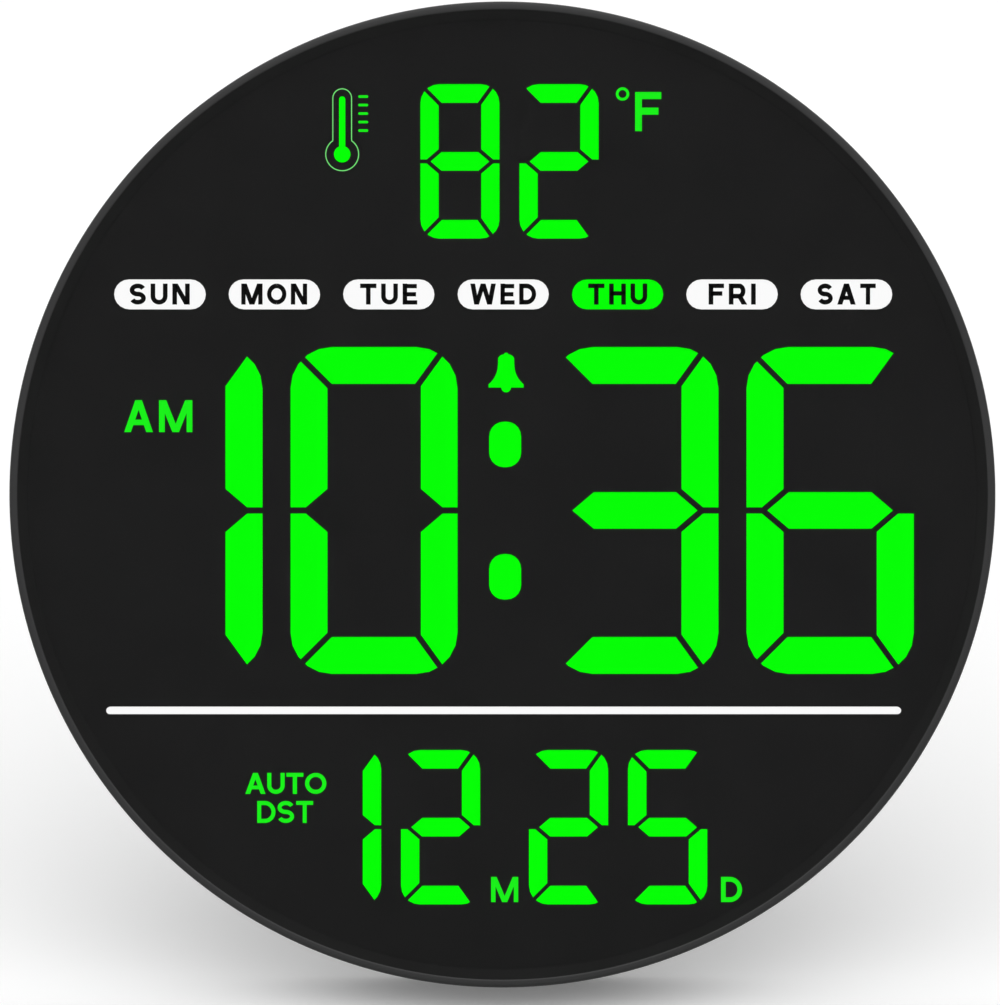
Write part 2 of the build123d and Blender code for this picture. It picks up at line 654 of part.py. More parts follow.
def rear_cover():
    """Moulded back plate: screw and board posts, leg recess, keyhole box, button trough, door seat."""
    inside = COVER_WALL / 2
    solids = [slab(place * Rectangle(POST_WIDTH, POST_WIDTH), inside, POST_END) for place in case_places()]
    solids += [
        slab(place * Rectangle(BOARD_POST_WIDTH, BOARD_POST_WIDTH), inside, MAIN_BOARD_REAR)
        for place in board_places()
    ]
    well = RegularPolygon(WELL_RADIUS, HEAD_SIDES)
    hollows = [slab(place * well, 0, WELL_DEPTH) for place in case_places()]
    hollows += [slab(outline, WELL_DEPTH, POST_END) for outline in screw_holes(case_places(), FIT_GAP)]
    pilot_end = MAIN_BOARD_FRONT - SHORT_SCREW_LENGTH - FIT_GAP
    pilots = screw_holes(board_places(), SCREW_GAP)
    hollows += [slab(outline, pilot_end, MAIN_BOARD_REAR) for outline in pilots]

    # Recess of the leg, open at the edge of the plate, with a finger scoop and the hinge pocket
    tray = slab(leg_outline(LEG_SIDE_GAP + RECESS_WALL, CASE_RADIUS), inside, RECESS_DEPTH + RECESS_WALL)
    solids.append(tray & disc(PANEL_RADIUS, 0, RECESS_DEPTH + RECESS_WALL))
    hollows.append(slab(leg_outline(LEG_SIDE_GAP, CASE_RADIUS), 0, RECESS_DEPTH))
    scoop_place = (LEG_FOOT_WIDTH / 2, HINGE_Z - LEG_LENGTH + SCOOP_RISE)
    boxed(solids, hollows, (SCOOP_WIDTH, SCOOP_HEIGHT, scoop_place), RECESS_WALL, RECESS_DEPTH)
    pocket_top = HINGE_Z + LEG_HEEL + LEG_SIDE_GAP
    pocket_low = HINGE_Z - KNUCKLE_RADIUS - LEG_SIDE_GAP
    pocket_place = (0, (pocket_top + pocket_low) / 2)
    pocket_width = LEG_TOP_WIDTH + 2 * LEG_SIDE_GAP
    pocket_height = pocket_top - pocket_low
    boxed(solids, hollows, (pocket_width, pocket_height, pocket_place), RECESS_WALL, HINGE_POCKET_DEPTH)
    cheek_width = pocket_width + 2 * (PIN_GRIP + RECESS_WALL)
    solids.append(block(cheek_width, pocket_height, inside, HINGE_POCKET_DEPTH, pocket_place))
    pin_hole = along_x(PIN_RADIUS + SCREW_GAP, pocket_width + 2 * PIN_GRIP, HINGE_DEPTH, HINGE_Z)
    hollows.append(pin_hole)

    # Keyhole in front of a boxed room for the head of the wall screw
    half_room = KEYHOLE_ENTRY_RADIUS + KEYHOLE_ROOM
    room = (2 * half_room, KEYHOLE_TRAVEL + 2 * half_room)
    room_place = (0, KEYHOLE_Z + KEYHOLE_TRAVEL / 2)
    solids.append(block(room[0] + 2 * POCKET_WALL, room[1] + 2 * POCKET_WALL, inside,
                        KEYHOLE_POCKET_DEPTH + POCKET_WALL, room_place))
    hollows.append(block(*room, COVER_WALL, KEYHOLE_POCKET_DEPTH, room_place))
    hollows.append(slab(keyhole_outline(), 0, COVER_WALL))

    # Button trough and plug recess
    trough = (TROUGH_LENGTH, TROUGH_HEIGHT, (BUTTON_ROW_X, BUTTON_ROW_Z))
    boxed(solids, hollows, trough, COVER_WALL, TROUGH_DEPTH)
    hollows += [
        block(BUTTON_WIDTH + 2 * FIT_GAP, BUTTON_HEIGHT + 2 * FIT_GAP, 0, TROUGH_FLOOR, place)
        for place in button_places()
    ]
    plug_place = (PLUG_RECESS_X + PLUG_RECESS_LENGTH / 2, BOARD_Z)
    plug_room = (PLUG_RECESS_LENGTH, PLUG_RECESS_HEIGHT, plug_place)
    boxed(solids, hollows, plug_room, POCKET_WALL, PLUG_RECESS_DEPTH)
    hollows.append(socket_box(SOCKET_WIDTH + 2 * FIT_GAP, SOCKET_THICKNESS + 2 * FIT_GAP,
                              PLUG_RECESS_X - 2 * POCKET_WALL, PLUG_RECESS_X))

    # Seat of the cell door: a sunk track, a ledge, and notches that let the door's hooks out
    x, z = CELL_PLACE
    track = (DOOR_WIDTH + 2 * FIT_GAP, DOOR_HEIGHT + DOOR_TRAVEL + 2 * FIT_GAP)
    track_place = (x, z - DOOR_TRAVEL / 2)
    solids.append(block(track[0] + 2 * DOOR_SURROUND, track[1] + 2 * DOOR_SURROUND, inside,
                        DOOR_LEDGE_FRONT, track_place))
    hollows.append(block(*track, 0, DOOR_FLOOR, track_place))
    opening_height = DOOR_HEIGHT - 2 * DOOR_LEDGE_WIDTH
    hollows.append(block(door_opening(), opening_height, 0, DOOR_LEDGE_FRONT, CELL_PLACE))
    hollows.append(block(door_opening() + 2 * HOOK_REACH, HOOK_LENGTH + 2 * FIT_GAP, 0, DOOR_LEDGE_FRONT,
                         (x, z - DOOR_TRAVEL)))

    # Vents over the temperature sensor and the buzzer
    middle = (VENT_COUNT - 1) / 2
    for x, z in (THERMISTOR_PLACE, BUZZER_PLACE):
        hollows += [
            block(VENT_WIDTH, VENT_LENGTH, 0, COVER_WALL, (x + (i - middle) * VENT_PITCH, z))
            for i in range(VENT_COUNT)
        ]
    return disc(PANEL_RADIUS, 0, COVER_WALL) + solids - hollows


def door_opening():
    """Width of the opening that the cell door covers."""
    return DOOR_WIDTH - 2 * DOOR_LEDGE_WIDTH


def battery_door():
    """Flush sliding door with finger grooves and two hooks that run behind the ledge of its seat."""
    x, z = CELL_PLACE
    rear = DOOR_SINK + DOOR_THICKNESS
    plate = block(DOOR_WIDTH, DOOR_HEIGHT, DOOR_SINK, rear, CELL_PLACE)
    for groove in range(GRIP_COUNT):
        groove_place = (x, z + DOOR_HEIGHT / 2 - DOOR_LEDGE_WIDTH - groove * GRIP_PITCH)
        plate -= block(*GRIP_SIZE, DOOR_SINK, DOOR_SINK + GRIP_DEPTH, groove_place)
    outer = door_opening() / 2 - FIT_GAP
    for side in (-1, 1):
        stem_x = x + side * (outer - HOOK_THICKNESS / 2)
        foot_x = x + side * (outer - HOOK_THICKNESS / 2 + HOOK_REACH / 2)
        plate += block(HOOK_THICKNESS, HOOK_LENGTH, rear, HOOK_END, (stem_x, z))
        foot_width = HOOK_THICKNESS + HOOK_REACH
        plate += block(foot_width, HOOK_LENGTH, HOOK_END - HOOK_FOOT, HOOK_END, (foot_x, z))
    return plate


def button(place):
    """Key cap with a lip that stops behind the cover and a stem down to its switch."""
    top = TROUGH_DEPTH - BUTTON_PROUD
    lip_rear = TROUGH_FLOOR + SEAT_GAP
    lip_front = lip_rear + BUTTON_FLANGE
    stem_end = MAIN_BOARD_REAR - SWITCH_HEIGHT + BUTTON_STEM_ENTRY
    cap = block(BUTTON_WIDTH, BUTTON_HEIGHT, top, lip_front, place)
    cap = chamfer(cap.faces().sort_by(Axis.Y)[-1].edges(), BUTTON_CHAMFER)
    lip = block(BUTTON_WIDTH + 2 * BUTTON_LIP, BUTTON_HEIGHT + 2 * BUTTON_LIP, lip_rear, lip_front, place)
    return cap + lip + block(BUTTON_STEM, BUTTON_STEM, lip_front, stem_end, place)


# Leg


def opened(piece):
    """Swings a piece of the folded leg out to its stop."""
    return piece.rotate(Axis((0, -HINGE_DEPTH, HINGE_Z), (1, 0, 0)), LEG_SWING)


def stand_leg():
    """Tapered moulded leg: hinge knuckle, stop heel, border and centre rib round two sunk panels."""
    rear = HINGE_DEPTH - LEG_THICKNESS / 2
    front = HINGE_DEPTH + LEG_THICKNESS / 2
    plate = slab(leg_outline(0, 0), rear, front)
    panel_top = HINGE_Z - KNUCKLE_RADIUS - LEG_BORDER
    panel_low = HINGE_Z - LEG_LENGTH + LEG_BORDER
    panel = leg_outline(-LEG_BORDER, 0) & (
        Pos(0, (panel_top + panel_low) / 2) * Rectangle(LEG_FOOT_WIDTH, panel_top - panel_low)
    )
    panel -= Pos(0, panel_low) * Rectangle(LEG_BORDER, 2 * LEG_LENGTH)
    knuckle = along_x(KNUCKLE_RADIUS, LEG_TOP_WIDTH, HINGE_DEPTH, HINGE_Z)
    bore = along_x(PIN_RADIUS + PIN_RUNNING_GAP, 2 * LEG_FOOT_WIDTH, HINGE_DEPTH, HINGE_Z)
    return opened(plate - slab(panel, rear + LEG_WEB, front) + knuckle - bore)


def foot_pad():
    """Half-round rubber strip along the end of the leg."""
    foot = HINGE_Z - LEG_LENGTH
    bar = along_x(FOOT_ROUND, LEG_FOOT_WIDTH, HINGE_DEPTH, foot)
    lower = Pos(0, -HINGE_DEPTH, foot - FOOT_ROUND / 2) * Box(LEG_FOOT_WIDTH, LEG_THICKNESS, FOOT_ROUND)
    return opened(bar & lower)


def hinge_pin():
    """Steel pin through the cheeks of the cover and the knuckle of the leg."""
    length = LEG_TOP_WIDTH + 2 * (LEG_SIDE_GAP + PIN_GRIP - FIT_GAP)
    return along_x(PIN_RADIUS, length, HINGE_DEPTH, HINGE_Z)


# Assembly

WINDOWS, CAVITIES = window_outlines()
NODES = {
    "front_bezel": front_bezel(),
    "front_lens": front_lens(),
    "display_shell": display_shell(CAVITIES),
    "display_board": display_board(),
    "segment_leds": segment_leds(CAVITIES),
    "display_screws": screws(display_places(), DISPLAY_BOARD_REAR, SHORT_SCREW_LENGTH),
    "led_drivers": led_drivers(),
    "board_connector": block(*CONNECTOR_SIZE, MAIN_BOARD_FRONT, DISPLAY_BOARD_REAR, CONNECTOR_PLACE),
    "main_board": main_board(),
    "microcontroller": on_board(Rectangle(*CHIP_SIZE), CHIP_HEIGHT, CHIP_PLACE),
    "clock_crystal": on_board(Rectangle(*CRYSTAL_SIZE), CRYSTAL_HEIGHT, CRYSTAL_PLACE),
    "power_capacitor": on_board(Circle(CAPACITOR_RADIUS), CAPACITOR_HEIGHT, CAPACITOR_PLACE),
    "buzzer": on_board(Circle(BUZZER_RADIUS), BUZZER_HEIGHT, BUZZER_PLACE),
    "thermistor": on_board(Rectangle(*THERMISTOR_SIZE), THERMISTOR_HEIGHT, THERMISTOR_PLACE),
    "tact_switches": tact_switches(),
    "cell_holder": cell_holder(),
    "coin_cell": coin_cell(),
    "usb_socket": usb_socket(),
    "board_screws": screws(board_places(), MAIN_BOARD_FRONT, SHORT_SCREW_LENGTH, towards=-1),
    "rear_cover": rear_cover(),
    "cover_screws": screws(case_places(), WELL_DEPTH, COVER_SCREW_LENGTH),
    "hinge_pin": hinge_pin(),
    "stand_leg": stand_leg(),
    "foot_pad": foot_pad(),
    "battery_door": battery_door(),
}
for name, outlines in WINDOWS.items():
    NODES[name] = group(slab(outline, SHELL_FRONT - SEGMENT_THICKNESS, SHELL_FRONT) for outline in outlines)
for name, place in zip(BUTTON_NAMES, button_places()):
    NODES["button_" + name] = button(place)

# Stance: the table touches the rear edge of the case ring and the round of the foot pad

FOOT_Y = LEG_LENGTH * SWING_SIN - HINGE_DEPTH
FOOT_Z = HINGE_Z - LEG_LENGTH * SWING_COS
RISE = FOOT_Z + CASE_RADIUS
LEAN = math.degrees(math.atan2(RISE, FOOT_Y) - math.asin(FOOT_ROUND / math.hypot(FOOT_Y, RISE)))
TILT = Rot(-LEAN, 0, 0)
BOXES = [(TILT * shape).bounding_box() for shape in NODES.values()]
MIDDLE_Y = (min(box.min.Y for box in BOXES) + max(box.max.Y for box in BOXES)) / 2
TABLE_Z = min(box.min.Z for box in BOXES)
STANCE = Pos(0, -MIDDLE_Y, -TABLE_Z) * TILT

os.makedirs("parts", exist_ok=True)
for name, shape in NODES.items():
    export_step(STANCE * shape, "parts/" + name + ".step")
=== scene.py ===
import bmesh
import bpy
import json
import math
import numpy as np
from mathutils import Matrix, Vector


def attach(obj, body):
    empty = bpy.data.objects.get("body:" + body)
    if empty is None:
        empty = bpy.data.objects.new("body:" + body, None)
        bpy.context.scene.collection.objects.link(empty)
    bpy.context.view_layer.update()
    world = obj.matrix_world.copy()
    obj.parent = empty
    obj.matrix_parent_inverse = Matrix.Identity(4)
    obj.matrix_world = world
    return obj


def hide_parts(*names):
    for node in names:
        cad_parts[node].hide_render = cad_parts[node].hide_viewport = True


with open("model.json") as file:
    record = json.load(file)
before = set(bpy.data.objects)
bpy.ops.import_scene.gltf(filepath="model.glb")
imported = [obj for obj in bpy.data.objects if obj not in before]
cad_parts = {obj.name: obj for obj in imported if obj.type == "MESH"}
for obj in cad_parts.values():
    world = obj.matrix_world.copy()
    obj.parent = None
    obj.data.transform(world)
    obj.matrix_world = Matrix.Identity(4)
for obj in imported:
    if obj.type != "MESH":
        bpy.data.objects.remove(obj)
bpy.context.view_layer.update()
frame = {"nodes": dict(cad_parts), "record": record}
nodes = frame["nodes"]
scene = bpy.context.scene

# Case ring: one moulding in black ABS with a fine satin grain. Its rim is a thin band round the face,
# rolled over at the outside, with a soft lip at the inside that runs down on to the lens without a gap.
# It leans back on the leg with the whole clock, so its places are measured from the flat back.
CASE_RADIUS = 152.5
RIM_WIDTH = 2.56
RIM_ROLL = 1.2
REAR_BREAK = 0.4
LIP_RUN = 0.75
LIP_SINK = 0.02
RING_STEPS = 720
NOISE_LOW = 0.3
NOISE_HIGH = 0.7
MOTTLE = 0.06
MOTTLE_CELLS = 40
GLOSS_SPREAD = 0.06
GRAIN_STRENGTH = 0.35
MM = 0.001
mounts = {mount["name"]: mount for mount in frame["record"]["mounts"]}
ACROSS = np.array([1.0, 0.0, 0.0])
OUT_OF_BACK = np.array(mounts["wall_face"]["axis"])
UP_FACE = np.cross(OUT_OF_BACK, ACROSS) * -1
BACK_CENTRE = np.array(mounts["wall_face"]["pos_m"]) * np.array([0.0, 1.0, 1.0])


def on_clock(x, z, depth):
    """Places of x, z and depth in mm: back centre + x across + z up the face - depth out of the back."""
    x, z, depth = np.broadcast_arrays(np.asarray(x, float), z, depth)
    place = x[..., None] * ACROSS + z[..., None] * UP_FACE - depth[..., None] * OUT_OF_BACK
    return BACK_CENTRE + place * MM


def depth_of(node):
    """Rear and front depth of a node in mm: its points measured from the back along the clock's axis."""
    co = np.empty(len(nodes[node].data.vertices) * 3)
    nodes[node].data.vertices.foreach_get("co", co)
    depth = (co.reshape(-1, 3) - BACK_CENTRE) @ -OUT_OF_BACK / MM
    return depth.min(), depth.max()


def shader(name):
    """A new material with its tree and its Principled shader."""
    material = bpy.data.materials.new(name)
    material.use_nodes = True
    return material, material.node_tree, material.node_tree.nodes["Principled BSDF"]


def grain(tree, scale, detail=3.0):
    """Noise on Object coordinates, scale in cells per metre."""
    place = tree.nodes.new("ShaderNodeTexCoord")
    noise = tree.nodes.new("ShaderNodeTexNoise")
    noise.inputs["Scale"].default_value = scale
    noise.inputs["Detail"].default_value = detail
    tree.links.new(place.outputs["Object"], noise.inputs["Vector"])
    return noise


def spread(tree, source, low, high, target):
    """Stretches the middle of a noise, NOISE_LOW to NOISE_HIGH, over low to high on a shader socket."""
    span = tree.nodes.new("ShaderNodeMapRange")
    span.inputs["From Min"].default_value = NOISE_LOW
    span.inputs["From Max"].default_value = NOISE_HIGH
    span.inputs["To Min"].default_value = low
    span.inputs["To Max"].default_value = high
    tree.links.new(source.outputs["Fac"], span.inputs["Value"])
    tree.links.new(span.outputs["Result"], target)


def tint(tree, source, colour, change, target):
    """Mottles a colour: from colour * (1 - change) to colour * (1 + change) over the middle of a noise."""
    ramp = tree.nodes.new("ShaderNodeValToRGB")
    ramp.color_ramp.elements[0].position = NOISE_LOW
    ramp.color_ramp.elements[1].position = NOISE_HIGH
    ramp.color_ramp.elements[0].color = [c * (1 - change) for c in colour] + [1]
    ramp.color_ramp.elements[1].color = [c * (1 + change) for c in colour] + [1]
    tree.links.new(source.outputs["Fac"], ramp.inputs["Fac"])
    tree.links.new(ramp.outputs["Color"], target)


def moulded(name, colour, roughness, texture_mm, relief_mm, gloss=0.4):
    """Moulded plastic or ink: mottled colour, uneven gloss, and a fine grain of a given cell and relief."""
    material, tree, skin = shader(name)
    skin.inputs["Specular IOR Level"].default_value = gloss
    fine = grain(tree, 1 / (texture_mm * MM))
    broad = grain(tree, 1 / (MOTTLE_CELLS * texture_mm * MM))
    tint(tree, broad, colour, MOTTLE, skin.inputs["Base Color"])
    spread(tree, fine, roughness - GLOSS_SPREAD, roughness + GLOSS_SPREAD, skin.inputs["Roughness"])
    bump = tree.nodes.new("ShaderNodeBump")
    bump.inputs["Strength"].default_value = GRAIN_STRENGTH
    bump.inputs["Distance"].default_value = relief_mm * MM
    tree.links.new(fine.outputs["Fac"], bump.inputs["Height"])
    tree.links.new(bump.outputs["Normal"], skin.inputs["Normal"])
    return material


def piece(name, points, faces, material, slot, smooth=True, body="case"):
    """A finished piece that rides on a body, its place in its mesh."""
    mesh = bpy.data.meshes.new(name)
    mesh.from_pydata(np.asarray(points).reshape(-1, 3).tolist(), [], [list(face) for face in faces])
    mesh.materials.append(material)
    mesh.polygons.foreach_set("use_smooth", [smooth] * len(mesh.polygons))
    mesh.update()
    made = bpy.data.objects.new(name, mesh)
    scene.collection.objects.link(made)
    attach(made, body)
    return made


def closed_grid(rows, columns):
    """Quads of a grid that closes on itself both ways: corner (i, j) to (i + 1, j + 1), counted round."""
    i, j = np.meshgrid(np.arange(rows), np.arange(columns), indexing="ij")
    after_i = (i + 1) % rows
    after_j = (j + 1) % columns
    corners = (i * columns + j, i * columns + after_j, after_i * columns + after_j, after_i * columns + j)
    return np.stack(corners, -1).reshape(-1, 4)


def turned(profile):
    """A closed profile (r, depth) turned about the clock's axis: x = r cos a, z = r sin a, a once round."""
    angle = np.linspace(0, 2 * math.pi, RING_STEPS, endpoint=False)[:, None]
    radius, depth = profile.T
    points = on_clock(radius * np.cos(angle), radius * np.sin(angle), depth)
    return points, closed_grid(RING_STEPS, len(profile))


def quarter(run, rise, centre, start, steps=9):
    """A quarter of an ellipse in (radius, depth): centre + (run * cos t, rise * sin t), t from start on."""
    t = np.radians(np.linspace(start, start + 90, steps))
    return np.stack([centre[0] + run * np.cos(t), centre[1] + rise * np.sin(t)], 1)


def rim_profile():
    """Rear edge, rolled front edge and lip as quarters of ellipses, then the plain inside wall."""
    rear, front = depth_of("front_bezel")
    inner = CASE_RADIUS - RIM_WIDTH
    lip = front - depth_of("front_lens")[1] + LIP_SINK
    return np.concatenate(
        [
            quarter(REAR_BREAK, REAR_BREAK, (CASE_RADIUS - REAR_BREAK, rear + REAR_BREAK), -90),
            quarter(RIM_ROLL, RIM_ROLL, (CASE_RADIUS - RIM_ROLL, front - RIM_ROLL), 0),
            quarter(LIP_RUN, lip, (inner + LIP_RUN, front - lip), 90),
            [[inner, rear]],
        ]
    )


case_black = moulded("satin black case", (0.014, 0.014, 0.0144), 0.42, 0.35, 0.02, 0.32)
ring = piece("case_ring", *turned(rim_profile()), case_black, "case_black")
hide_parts("front_bezel")


# Back plate, cell door and leg: the same ABS with a coarser, duller grain than the ring,
# as hidden mouldings have, held by six screws; the door and the leg are separate mouldings.
def dress(material, *names):
    """Gives CAD nodes a material in place of their own."""
    for name in names:
        nodes[name].data.materials.clear()
        nodes[name].data.materials.append(material)


back_black = moulded("textured black back", (0.03, 0.03, 0.031), 0.55, 0.6, 0.04)
dress(back_black, "rear_cover", "battery_door", "stand_leg")

# Keys: five small mouldings in dark grey, a shade lighter than the back so that they are found easily.
# Each sits in the trough of the back and presses on the switch under it.
key_grey = moulded("dark grey key", (0.09, 0.09, 0.094), 0.5, 0.3, 0.015)
dress(key_grey, *[name for name in nodes if name.startswith("button_")])

# Foot pad: a strip of black rubber moulded on to the end of the leg, with a dusty, dull skin,
# so that the clock doesn't slide on a table.
pad_rubber = moulded("black rubber", (0.02, 0.02, 0.02), 0.8, 0.4, 0.03)
dress(pad_rubber, "foot_pad")

# Screws and hinge pin: zinc-plated steel. The cell, the socket shell and the crystal can are nickel plated,
# and the capacitor has a plain aluminium can.
STREAK_SCALE = 2500.0
STREAK_TINT = 0.05
STREAK_SPREAD = 0.07


def plated(name, colour, roughness):
    """Plated metal with fine streaks: colour and gloss both follow one noise."""
    material, tree, skin = shader(name)
    streaks = grain(tree, STREAK_SCALE, 2.0)
    skin.inputs["Metallic"].default_value = 1.0
    tint(tree, streaks, colour, STREAK_TINT, skin.inputs["Base Color"])
    spread(tree, streaks, roughness - STREAK_SPREAD, roughness + STREAK_SPREAD, skin.inputs["Roughness"])
    return material


zinc_steel = plated("zinc plated steel", (0.42, 0.42, 0.41), 0.38)
nickel_steel = plated("nickel plated steel", (0.62, 0.61, 0.58), 0.25)
can_aluminium = plated("aluminium can", (0.72, 0.72, 0.74), 0.32)
dress(zinc_steel, "cover_screws", "board_screws", "display_screws", "hinge_pin")
dress(nickel_steel, "coin_cell", "usb_socket", "clock_crystal")
dress(can_aluminium, "power_capacitor")

# Circuit boards: glass-epoxy sheet under green solder mask, screwed to the shell and the back.
# The components soldered to them are moulded in black, and the lamps are pale packages.
board_mask = moulded("green solder mask", (0.012, 0.11, 0.04), 0.35, 0.8, 0.01)
component_black = moulded("component black", (0.022, 0.022, 0.023), 0.5, 0.3, 0.01)
lamp_white = moulded("lamp package", (0.8, 0.79, 0.73), 0.4, 0.3, 0.005)
dress(board_mask, "display_board", "main_board")
dress(component_black, "led_drivers", "microcontroller", "thermistor", "buzzer", "tact_switches")
dress(component_black, "board_connector", "cell_holder")
dress(lamp_white, "segment_leds")

# Display shell: the black reflector moulding behind the lens. Its flat front is the dark face that shows,
# and the unlit bars are diffusers of the same darkness, pressed in so tightly that they don't show at all.
UNDER_LENS_GLOSS = 0.03
FACE_BLACK = (0.0315, 0.0315, 0.0315)
BAR_SWELL = 0.27
MERGE_DISTANCE = 0.001
shell_black = moulded("flat black shell", FACE_BLACK, 0.7, 0.5, 0.01, UNDER_LENS_GLOSS)
dark_film = moulded("dark diffuser", FACE_BLACK, 0.7, 0.5, 0.01, UNDER_LENS_GLOSS)
dress(shell_black, "display_shell")


def swollen(name, node, material, amount):
    """A merged copy of a node with every point moved out along its normal, which stands for the node."""
    mesh = nodes[node].data.copy()
    merged = bmesh.new()
    merged.from_mesh(mesh)
    bmesh.ops.remove_doubles(merged, verts=merged.verts, dist=MERGE_DISTANCE * MM)
    merged.to_mesh(mesh)
    merged.free()
    mesh.name = name
    mesh.materials.clear()
    mesh.materials.append(material)
    made = bpy.data.objects.new(name, mesh)
    scene.collection.objects.link(made)
    swell = made.modifiers.new("swell", "DISPLACE")
    swell.strength = amount * MM
    swell.mid_level = 0.0
    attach(made, "case")
    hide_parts(node)
    return made


swollen("dark_windows", "unlit_segments", dark_film, BAR_SWELL)

# Lit diffusers: translucent plugs pressed into the shell's wells, with a lamp behind each.
# The figures are a saturated green, the weekday pills and the long divider are white.
LENS_ALPHA = 0.18
GREEN_GLOW = (0.0015, 1.0, 0.0015)
WHITE_GLOW = (1.0, 1.0, 1.0)
GLOW_BASE = 0.02
GLOW_CELLS = 1500.0
GLOW_ROUGHNESS = (0.5, 0.6)


def glowing(name, colour, level):
    """A lit diffuser with a satin skin: glow = level / (1 - alpha) ** 2, for both faces of the lens."""
    material, tree, skin = shader(name)
    skin.inputs["Base Color"].default_value = [GLOW_BASE * c for c in colour] + [1]
    skin.inputs["Emission Color"].default_value = list(colour) + [1]
    skin.inputs["Emission Strength"].default_value = level / (1 - LENS_ALPHA) ** 2
    skin.inputs["Specular IOR Level"].default_value = UNDER_LENS_GLOSS
    spread(tree, grain(tree, GLOW_CELLS), *GLOW_ROUGHNESS, skin.inputs["Roughness"])
    return material


green_light = glowing("lit green", GREEN_GLOW, 0.985)
white_light = glowing("lit white", WHITE_GLOW, 0.95)
dress(green_light, "hour_segments", "minute_segments", "temperature_segments")
dress(green_light, "month_segments", "day_segments", "colon_dots", "today_window")
dress(white_light, "weekday_windows", "divider_window")

# Lettering film: a film printed in two colours lies on the front of the shell, under the lens.
# Green signs are lit through clear letters in plain grotesque capitals, and the weekday names
# are opaque black on the lit pills.
FILM_LIFT = 0.05
FILM_THICK = 0.12
FILM_REAR = depth_of("display_shell")[1] + FILM_LIFT
FILM_FRONT = FILM_REAR + FILM_THICK
FILM = (FILM_REAR, FILM_FRONT)
sign_green = glowing("lit sign", (0.011, 0.9, 0.011), 0.95)
sign_pale = glowing("lit fine line", (0.21, 0.83, 0.22), 0.92)
ink_black = moulded("black ink", (0.012, 0.012, 0.012), 0.6, 0.3, 0.004, UNDER_LENS_GLOSS)


def cut_film(name, outlines, material=sign_green, slot="lit_green", depths=FILM, body="case"):
    """Flat shapes as thick as the film: each closed outline (x, z) becomes a prism with two ends."""
    points = []
    faces = []
    for x, z in outlines:
        turning = np.sum(x * np.roll(z, -1) - np.roll(x, -1) * z)
        x, z = (x, z) if turning > 0 else (x[::-1], z[::-1])
        first = sum(len(block) for block in points)
        rear = first + np.arange(len(x))
        front = rear + len(x)
        sides = np.stack([rear, np.roll(rear, -1), np.roll(front, -1), front], 1)
        faces += sides.tolist() + [rear[::-1].tolist(), front.tolist()]
        points += [on_clock(x, z, depths[0]), on_clock(x, z, depths[1])]
    return piece(name, np.concatenate(points), faces, material, slot, False, body)


def joined(*runs):
    """Runs of points strung together into one outline."""
    return np.concatenate([run[0] for run in runs]), np.concatenate([run[1] for run in runs])


def band(x, z, stroke):
    """A line (x, z) with square ends: the path moved half a stroke to each side along its normals."""
    path = np.stack([x, z], 1)
    along = np.gradient(path, axis=0)
    along /= np.linalg.norm(along, axis=1)[:, None]
    across = np.stack([along[:, 1], -along[:, 0]], 1) * stroke / 2
    both = np.concatenate([path + across, (path - across)[::-1]])
    return both[:, 0], both[:, 1]


def outline(*corners):
    """Corners (x, z) as two arrays."""
    return tuple(np.array(corners).T)


def bow(centre, radius_x, radius_z, start, end):
    """Points of an elliptic arc: centre + (radius_x cos t, radius_z sin t)."""
    t = np.radians(np.linspace(start, end, 33))
    return centre[0] + radius_x * np.cos(t), centre[1] + radius_z * np.sin(t)


def upright(x, low, high, width):
    """A rectangle standing from low to high, x its left side."""
    return outline((x, low), (x + width, low), (x + width, high), (x, high))


def slant(low_x, high_x, width):
    """A sloping stroke from the foot at low_x to the top at high_x, of an even level width."""
    return outline((low_x, 0), (low_x + width, 0), (high_x + width, 1), (high_x, 1))


def bowl(s, middle):
    """Upper bowl of P and R: half an ellipse about middle, with straight runs back to the stem."""
    height = (1.4 - s / 2) / 2
    round_z = (0.6 - s / 2) / 2
    curve = bow((middle, height), 0.3 - s / 2, round_z, 90, -90)
    return band(*joined(([s / 2], [1 - s / 2]), curve, ([s / 2], [0.4])), s)


# Each letter is drawn one unit high from its stroke s. It gives a list of closed outlines, some of which
# overlap, and the width that they take up.
def letter_a(s):
    """Two slants that meet at the top, and a bar between them a fifth of the way up."""
    leg = 1.16 * s
    bar = outline((0.2, 0.22), (0.75, 0.22), (0.69, 0.22 + 0.9 * s), (0.26, 0.22 + 0.9 * s))
    return [slant(0, 0.475 - leg / 2, leg), slant(0.95 - leg, 0.475 - leg / 2, leg), bar], 0.95


def letter_d(s):
    """A stem, and half a circle with straight runs back to it."""
    half = 0.5 - s / 2
    curve = bow((0.36, 0.5), half, half, 90, -90)
    round_side = joined(([s / 2], [1 - s / 2]), curve, ([s / 2], [s / 2]))
    return [upright(0, 0, 1, s), band(*round_side, s)], 0.86


def letter_e(s):
    """A stem with three arms, the middle one shortest."""
    arms = [(0.72, 0), (0.66, 0.5 - s / 2), (0.7, 1 - s)]
    return [upright(0, 0, 1, s)] + [upright(0, z, z + 0.92 * s, width) for width, z in arms], 0.72


def letter_f(s):
    """A stem with two arms, at the top and a little below the middle."""
    top = upright(0, 1 - 0.95 * s, 1, 0.74)
    middle = upright(0, 0.42, 0.42 + 0.95 * s, 0.66)
    return [upright(0, 0, 1, s), top, middle], 0.74


def letter_g(s):
    """A circle open at the right, and a bar from its middle to the opening."""
    half = 0.5 - s / 2
    return [band(*bow((0.5, 0.5), half, half, 42, 345), s), upright(0.58, 0.5 - s, 0.5, 0.42)], 1.0


